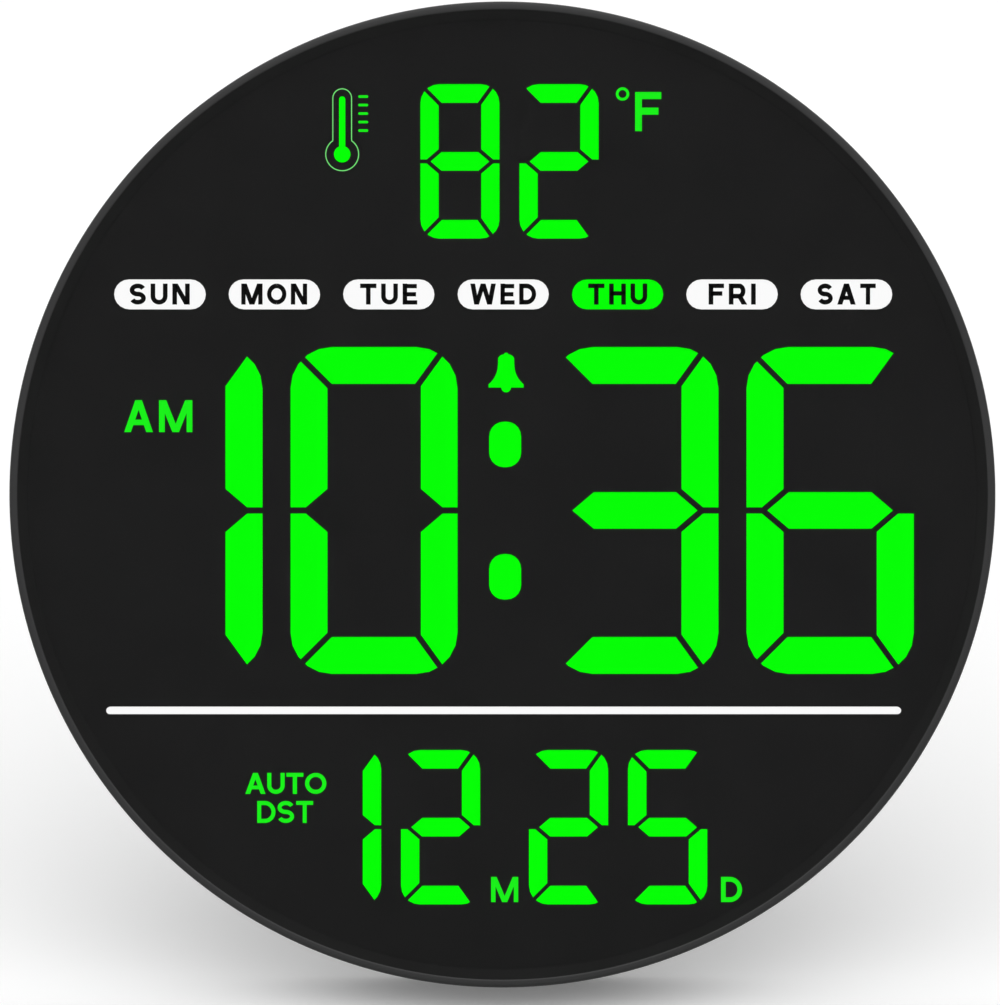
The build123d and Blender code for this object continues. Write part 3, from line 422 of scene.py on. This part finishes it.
def letter_h(s):
    """Two stems and a bar between them."""
    return [upright(0, 0, 1, s), upright(0.82 - s, 0, 1, s), upright(0, 0.43, 0.43 + 0.92 * s, 0.82)], 0.82


def letter_i(s):
    """One stem."""
    return [upright(0, 0, 1, s)], s


def letter_l(s):
    """A stem with one arm at the foot."""
    return [upright(0, 0, 1, s), upright(0, 0, 0.95 * s, 0.68)], 0.68


def letter_m(s):
    """Two stems, and two slants that meet at the foot between them."""
    valley = 1.15 * s
    left = slant(0.55 - valley / 2, 0.1 * s, valley)
    right = slant(0.55 - valley / 2, 1.1 - 1.25 * s, valley)
    return [upright(0, 0, 1, s), upright(1.1 - s, 0, 1, s), left, right], 1.1


def letter_n(s):
    """Two stems, and a slant from the top of the left one to the foot of the right one."""
    return [upright(0, 0, 1, s), upright(0.84 - s, 0, 1, s), slant(0.84 - 1.15 * s, 0, 1.15 * s)], 0.84


def letter_o(s):
    """Two half circles."""
    half = 0.5 - s / 2
    left = bow((0.5, 0.5), half, half, 90, 270)
    right = bow((0.5, 0.5), half, half, -90, 90)
    return [band(*left, s), band(*right, s)], 1.0


def letter_p(s):
    """A stem and an upper bowl."""
    return [upright(0, 0, 1, s), bowl(s, 0.48)], 0.78


def letter_r(s):
    """A stem, an upper bowl, and a leg that slopes out from under the bowl."""
    leg = outline((0.62, 0), (0.62 + 1.2 * s, 0), (0.36 + 1.15 * s, 0.45), (0.36, 0.45))
    return [upright(0, 0, 1, s), bowl(s, 0.5), leg], 0.84


def letter_s(s):
    """One line along two elliptic arcs that meet in the middle, turning opposite ways."""
    half = (1 - s) / 4
    wide = 0.39 - s / 2
    top = bow((0.39, 0.5 + half), wide, half, 22, 270)
    bottom = bow((0.39, 0.5 - half), wide, half, 90, -158)
    return [band(*joined(top, (bottom[0][1:], bottom[1][1:])), s)], 0.78


def letter_t(s):
    """A bar at the top and a stem under its middle."""
    return [upright(0, 1 - 0.95 * s, 1, 0.8), upright(0.4 - s / 2, 0, 1, s)], 0.8


def letter_u(s):
    """One line down, round half an ellipse at the foot, and up."""
    foot = bow((0.41, 0.4), 0.41 - s / 2, 0.4 - s / 2, 180, 360)
    return [band(*joined(([s / 2], [1]), foot, ([0.82 - s / 2], [1])), s)], 0.82


def letter_w(s):
    """Four slants between two feet and three tops."""
    leg = 1.08 * s
    feet = (0.32 - leg / 2, 0.98 - leg / 2)
    tops = (0, 0.65 - leg / 2, 1.3 - leg)
    left = [slant(feet[0], tops[0], leg), slant(feet[0], tops[1], leg)]
    right = [slant(feet[1], tops[1], leg), slant(feet[1], tops[2], leg)]
    return left + right, 1.3


LETTERS = {
    "A": letter_a, "D": letter_d, "E": letter_e, "F": letter_f, "G": letter_g, "H": letter_h,
    "I": letter_i, "L": letter_l, "M": letter_m, "N": letter_n, "O": letter_o, "P": letter_p,
    "R": letter_r, "S": letter_s, "T": letter_t, "U": letter_u, "W": letter_w,
}


def lettering(text, stroke, gap):
    """Letters one unit high, set side by side with a gap between them."""
    outlines = []
    width = 0.0
    for key in text:
        shapes, advance = LETTERS[key](stroke)
        outlines += [(x + width, z) for x, z in shapes]
        width += advance + gap
    return outlines


def words(name, text, box, stroke, gap, **finish):
    """Lettering stretched to fill a box (left, right, low, high) on the face."""
    left, right, low, high = box
    shapes = lettering(text, stroke, gap)
    stretch = (right - left) / max(x.max() for x, z in shapes)
    return cut_film(name, [(left + x * stretch, low + z * (high - low)) for x, z in shapes], **finish)


# Weekday names: opaque black on the film, each centred on its pill with its own width.
# The pills run from Sunday to Saturday at an even pitch.
WEEKDAYS = (
    ("SUN", 18.6),
    ("MON", 20.4),
    ("TUE", 17.7),
    ("WED", 20.4),
    ("THU", 18.3),
    ("FRI", 14.6),
    ("SAT", 18.0),
)
WEEKDAY_PITCH = 35.45
WEEKDAY_X = 0.25
WEEKDAY_LOW = 58.8
WEEKDAY_HIGH = 65.3
WEEKDAY_STROKE = 0.225
WEEKDAY_GAP = 0.23
for day, (name, width) in enumerate(WEEKDAYS):
    middle = WEEKDAY_X + (day - 3) * WEEKDAY_PITCH
    box = (middle - width / 2, middle + width / 2, WEEKDAY_LOW, WEEKDAY_HIGH)
    label = "weekday_" + name.lower()
    words(label, name, box, WEEKDAY_STROKE, WEEKDAY_GAP, material=ink_black, slot="shell_black")

# Small green words: half of the day, unit of the temperature, month and day, and summer time, lit
# through the film. Each has its box on the face in mm, and its stroke and gap as shares of its height.
SIGNS = (
    ("am", "AM", (-117.1, -96.0, 19.3, 29.2), 0.19, 0.2),
    ("f", "F", (41.1, 49.2, 112.5, 124.6), 0.19, 0.2),
    ("m", "M", (-3.5, 4.9, -126.2, -118.4), 0.18, 0.2),
    ("d", "D", (67.7, 74.2, -126.2, -118.4), 0.19, 0.2),
    ("auto", "AUTO", (-79.6, -54.5, -92.7, -86.2), 0.195, 0.08),
    ("dst", "DST", (-75.9, -58.6, -101.7, -94.9), 0.187, 0.1),
)
for name, text, box, stroke, gap in SIGNS:
    words("sign_" + name, text, box, stroke, gap)

# Degree sign: a small ring of even line width before the unit, lit through the film like the words.
# The same kind of line draws the thermometer further on.
DEGREE = (37.2, 124.0)
DEGREE_RADIUS = 1.65
DEGREE_LINE = 0.86


def ribbon(name, x, z, width, material=sign_green):
    """A line of even width along a closed path (x, z): a thin strip carried along the path's normals."""
    path = np.stack([x, z], 1)
    along = np.roll(path, -1, 0) - np.roll(path, 1, 0)
    along /= np.linalg.norm(along, axis=1)[:, None]
    across = np.stack([along[:, 1], -along[:, 0]], 1) * width / 2
    outer = path + across
    inner = path - across
    section = ((inner, FILM_REAR), (outer, FILM_REAR), (outer, FILM_FRONT), (inner, FILM_FRONT))
    points = np.stack([on_clock(side[:, 0], side[:, 1], depth) for side, depth in section], 1)
    return piece(name, points, closed_grid(len(path), 4), material, "lit_green", smooth=False)


def arc(centre, radius, start, end, steps=40):
    """Points of an arc: centre + radius * (cos t, sin t) from start to end in degrees."""
    t = np.radians(np.linspace(start, end, steps))
    return centre[0] + radius * np.cos(t), centre[1] + radius * np.sin(t)


ribbon("sign_degree", *arc(DEGREE, DEGREE_RADIUS, 0, 352.5, 48), DEGREE_LINE)

# Bell: the sign of a set alarm, lit through the film. It has a dome with a small knob on a waist
# that flares to the lip, and a round clapper below.
BELL_X = 1.15
BELL_DOME_Z = 41.9
BELL_DOME_HEIGHT = 1.6
BELL_KNOB = 0.75
BELL_KNOB_SINK = 0.3
BELL_WAIST = 2.5
BELL_FLARE = 2.95
BELL_LIP_Z = 34.1
BELL_FOOT_Z = 33.1
BELL_CLAPPER = 1.5


def bell_outline():
    """Half-width: waist * cos t on the dome, waist + flare * s**3 on the flank, mirrored left for right."""
    t = np.radians(np.linspace(90, 0, 16))
    s = np.linspace(0, 1, 24)[1:]
    half = np.concatenate([BELL_WAIST * np.cos(t), BELL_WAIST + BELL_FLARE * s**3])
    dome_z = BELL_DOME_Z + BELL_DOME_HEIGHT * np.sin(t)
    flank_z = BELL_DOME_Z + (BELL_LIP_Z - BELL_DOME_Z) * s
    side_z = np.concatenate([dome_z, flank_z])
    lip = half[-1:]
    clapper_x, clapper_z = arc((0, BELL_FOOT_Z), BELL_CLAPPER, 180, 360, 20)
    x = np.concatenate([-half[1:], -lip, clapper_x, lip, half[::-1]])
    z = np.concatenate([side_z[1:], [BELL_FOOT_Z], clapper_z, [BELL_FOOT_Z], side_z[::-1]])
    return BELL_X + x, z


bell_top = (BELL_X, BELL_DOME_Z + BELL_DOME_HEIGHT - BELL_KNOB_SINK)
cut_film("sign_bell", [bell_outline(), arc(bell_top, BELL_KNOB, 0, 345, 24)], green_light)

# Thermometer: the sign of the room's temperature, lit through the film. It has a fine outline of tube
# and bulb, a filled column inside it and a short scale beside it.
BULB = (-49.6, 105.35)
BULB_RADIUS = 5.1
TUBE_HALF = 2.9
TUBE_TOP = 122.7
TUBE_LINE = 0.3
COLUMN_BULB = 2.55
COLUMN_HALF = 0.95
COLUMN_TOP = 122.3
TICK_X = -43.1
TICK_LENGTH = 3.1
TICK_HALF = 0.4
TICK_PITCH = 2.63
TICK_TOP = 123.2
TICK_COUNT = 5


def thermometer(bulb, half, top):
    """Bulb arc from one shoulder round below to the other, then the half-round end of the tube."""
    shoulder = math.degrees(math.asin(half / bulb))
    below = arc(BULB, bulb, 90 + shoulder, 450 - shoulder, 60)
    end = arc((BULB[0], top), half, 0, 180, 24)
    return joined(below, end)


def even(x, z, count=240):
    """The same closed outline at even steps along its length."""
    ring_x = np.append(x, x[0])
    ring_z = np.append(z, z[0])
    run = np.concatenate([[0], np.cumsum(np.hypot(np.diff(ring_x), np.diff(ring_z)))])
    at = np.linspace(0, run[-1], count, endpoint=False)
    return np.interp(at, run, ring_x), np.interp(at, run, ring_z)


def tick(height):
    """A short level bar with half-round ends."""
    reach = TICK_LENGTH / 2 - TICK_HALF
    left_end = arc((TICK_X - reach, height), TICK_HALF, 90, 270, 9)
    right_end = arc((TICK_X + reach, height), TICK_HALF, 270, 450, 9)
    return joined(left_end, right_end)


ribbon("sign_thermometer", *even(*thermometer(BULB_RADIUS, TUBE_HALF, TUBE_TOP)), TUBE_LINE, sign_pale)
cut_film("sign_column", [thermometer(COLUMN_BULB, COLUMN_HALF, COLUMN_TOP)], green_light)
cut_film("sign_scale", [tick(TICK_TOP - mark * TICK_PITCH) for mark in range(TICK_COUNT)])

# Lens: a flat disc of smoked acrylic bonded into the rim. It darkens what lies behind it evenly,
# and its dull coat, made to be read from any side, keeps reflections of the room away.
LENS_CELLS = 300.0
LENS_ROUGHNESS = (0.1, 0.14)
lens_smoke, lens_tree, lens_skin = shader("smoked acrylic")
lens_skin.inputs["Base Color"].default_value = (0, 0, 0, 1)
lens_skin.inputs["Alpha"].default_value = LENS_ALPHA
lens_skin.inputs["Specular IOR Level"].default_value = 0.0
spread(lens_tree, grain(lens_tree, LENS_CELLS), *LENS_ROUGHNESS, lens_skin.inputs["Roughness"])
dress(lens_smoke, "front_lens")

# Edge of the lens: its rear edge is bevelled all round and painted black, so that the bond doesn't show.
# The shell has a low sloped lip under it, so that the face runs on to the rim in one darkness.
BEVEL_TUCK = 0.02
BEVEL_OUTER = CASE_RADIUS - RIM_WIDTH + BEVEL_TUCK
BEVEL_FOOT = 147.2
LIP_FOOT = 146.75
BEVEL_SKIN = 0.01
edge_black = moulded("black edge paint", (0.0235, 0.0235, 0.0235), 0.7, 0.5, 0.002, UNDER_LENS_GLOSS)


def sloped(foot, low, high):
    """A wedge in (radius, depth): flat below, its slope rising from the foot at low to the rim at high."""
    return np.array([[foot, low], [BEVEL_OUTER, low], [BEVEL_OUTER, high], [foot, low + BEVEL_SKIN]])


lens_rear, lens_front = depth_of("front_lens")
paint = sloped(BEVEL_FOOT, lens_rear + BEVEL_SKIN, lens_front - BEVEL_SKIN)
piece("lens_edge_paint", *turned(paint), edge_black, "shell_black", smooth=False)
shell_front = depth_of("display_shell")[1]
lip_top = lens_rear - BEVEL_SKIN
shell_lip = np.insert(sloped(LIP_FOOT, shell_front, lip_top), 3, [BEVEL_FOOT, lip_top], 0)
piece("shell_lip", *turned(shell_lip), shell_black, "shell_black", smooth=False)

# Marks on the back: what each key does is pad-printed in light grey under the key trough, reading from
# behind, and an arrow on the cell door is moulded proud to show which way it slides.
MARK_DEPTHS = (-0.04, 0.02)
MARK_HEIGHT = 2.6
MARK_Z = 33.2
MARK_UNIT = 2.45
MARK_STROKE = 0.17
MARK_GAP = 0.16
KEY_WORDS = ("SET", "UP", "DOWN", "ALARM", "LIGHT")
KEY_ROW_X = -28.0
KEY_PITCH = 16.0
ARROW_X = 45.0
ARROW_TOP = 52.5
ARROW_HALF = 2.6
ARROW_DROP = 4.0
ARROW_PROUD = 0.2
ARROW_ROOT = 0.1
mark_grey = moulded("grey marking ink", (0.42, 0.42, 0.42), 0.6, 0.3, 0.004)


def mirrored(outlines, middle):
    """Outlines turned left for right about a line up the face, as they read from behind."""
    return [(2 * middle - x, z) for x, z in outlines]


for key, text in enumerate(KEY_WORDS):
    middle = KEY_ROW_X + (key - 2) * KEY_PITCH
    shapes = lettering(text, MARK_STROKE, MARK_GAP)
    width = max(x.max() for x, z in shapes) * MARK_UNIT
    marks = [(middle - width / 2 + x * MARK_UNIT, MARK_Z + z * MARK_HEIGHT) for x, z in shapes]
    cut_film("mark_" + text.lower(), mirrored(marks, middle), mark_grey, "key_grey", MARK_DEPTHS)
arrow_left = (ARROW_X - ARROW_HALF, ARROW_TOP)
arrow_tip = (ARROW_X, ARROW_TOP - ARROW_DROP)
arrow_right = (ARROW_X + ARROW_HALF, ARROW_TOP)
arrow = outline(arrow_left, arrow_tip, arrow_right)
door_skin = depth_of("battery_door")[0]
arrow_depths = (door_skin - ARROW_PROUD, door_skin + ARROW_ROOT)
cut_film("mark_slide", [arrow], back_black, "case_black", arrow_depths, "battery_door")

# Floor: a white table that runs out of sight, dull all over.
# A little of its white is its own, for the camera only.
FLOOR_HALF = 12.0
FLOOR_WHITE = 0.92
FLOOR_LIFT = 0.15
FLOOR_ROUGHNESS = 0.9
floor_white, floor_tree, floor_skin = shader("white table")
floor_skin.inputs["Base Color"].default_value = (FLOOR_WHITE, FLOOR_WHITE, FLOOR_WHITE, 1)
floor_skin.inputs["Roughness"].default_value = FLOOR_ROUGHNESS
floor_skin.inputs["Specular IOR Level"].default_value = 0.0
floor_skin.inputs["Emission Color"].default_value = (1, 1, 1, 1)
seen = floor_tree.nodes.new("ShaderNodeLightPath")
lift = floor_tree.nodes.new("ShaderNodeMath")
lift.operation = "MULTIPLY"
lift.inputs[1].default_value = FLOOR_LIFT
floor_tree.links.new(seen.outputs["Is Camera Ray"], lift.inputs[0])
floor_tree.links.new(lift.outputs["Value"], floor_skin.inputs["Emission Strength"])
floor_corners = np.array([(-1, -1, 0), (1, -1, 0), (1, 1, 0), (-1, 1, 0)]) * FLOOR_HALF
floor_mesh = bpy.data.meshes.new("table")
floor_mesh.from_pydata(floor_corners.tolist(), [], [(0, 1, 2, 3)])
floor_mesh.materials.append(floor_white)
floor = bpy.data.objects.new("table", floor_mesh)
scene.collection.objects.link(floor)

# Light: a broad bank of soft light above and in front, a weaker one behind, both even over the whole
# table, in an evenly lit room that shows as white beyond the table's edge.
BANKS = (("front_bank", 70.0, 26.0, 1.35), ("rear_bank", 60.0, -48.0, 0.6))
ROOM_LEVEL = 0.45
for name, spread_angle, tilt, strength in BANKS:
    bank = bpy.data.lights.new(name, "SUN")
    bank.angle = math.radians(spread_angle)
    bank.energy = strength
    lamp = bpy.data.objects.new(name, bank)
    lamp.rotation_euler = (math.radians(tilt), 0, 0)
    scene.collection.objects.link(lamp)
world = bpy.data.worlds.new("room")
scene.world = world
world.use_nodes = True
room_tree = world.node_tree
room = room_tree.nodes["Background"]
room.inputs["Color"].default_value = (1, 1, 1, 1)
ray = room_tree.nodes.new("ShaderNodeLightPath")
sight = room_tree.nodes.new("ShaderNodeMath")
sight.operation = "MAXIMUM"
either = room_tree.nodes.new("ShaderNodeMath")
either.operation = "MAXIMUM"
level = room_tree.nodes.new("ShaderNodeMapRange")
level.inputs["To Min"].default_value = ROOM_LEVEL
level.inputs["To Max"].default_value = 1.0
room_tree.links.new(ray.outputs["Is Camera Ray"], sight.inputs[0])
room_tree.links.new(ray.outputs["Is Transmission Ray"], sight.inputs[1])
room_tree.links.new(sight.outputs["Value"], either.inputs[0])
room_tree.links.new(ray.outputs["Is Glossy Ray"], either.inputs[1])
room_tree.links.new(either.outputs["Value"], level.inputs["Value"])
room_tree.links.new(level.outputs["Result"], room.inputs["Strength"])

# Camera: square to the face, so it looks down by the angle that the clock leans back.
# PIXEL is the size on the face of one pixel of the photograph, whose frame is 1000 by 1005 pixels.
PIXEL = 0.309
FRAME_HEIGHT = 1005
FACE_RIGHT = 2.4
FACE_UP = 8.03
CAMERA_DISTANCE = 1200.0
SENSOR = 36.0
SIGHT_METRES = 50
camera = bpy.data.cameras.new("camera")
camera.sensor_fit = "VERTICAL"
camera.sensor_height = SENSOR
camera.lens = CAMERA_DISTANCE * SENSOR / (FRAME_HEIGHT * PIXEL)
camera.clip_end = SIGHT_METRES
eye = on_clock(-FACE_RIGHT * PIXEL, -FACE_UP * PIXEL, depth_of("front_bezel")[1] + CAMERA_DISTANCE)
viewer = bpy.data.objects.new("camera", camera)
stance = Matrix((ACROSS, UP_FACE, -OUT_OF_BACK)).transposed().to_4x4()
viewer.matrix_world = Matrix.Translation(Vector(eye.tolist())) @ stance
scene.collection.objects.link(viewer)
scene.camera = viewer
scene.view_settings.view_transform = "Standard"
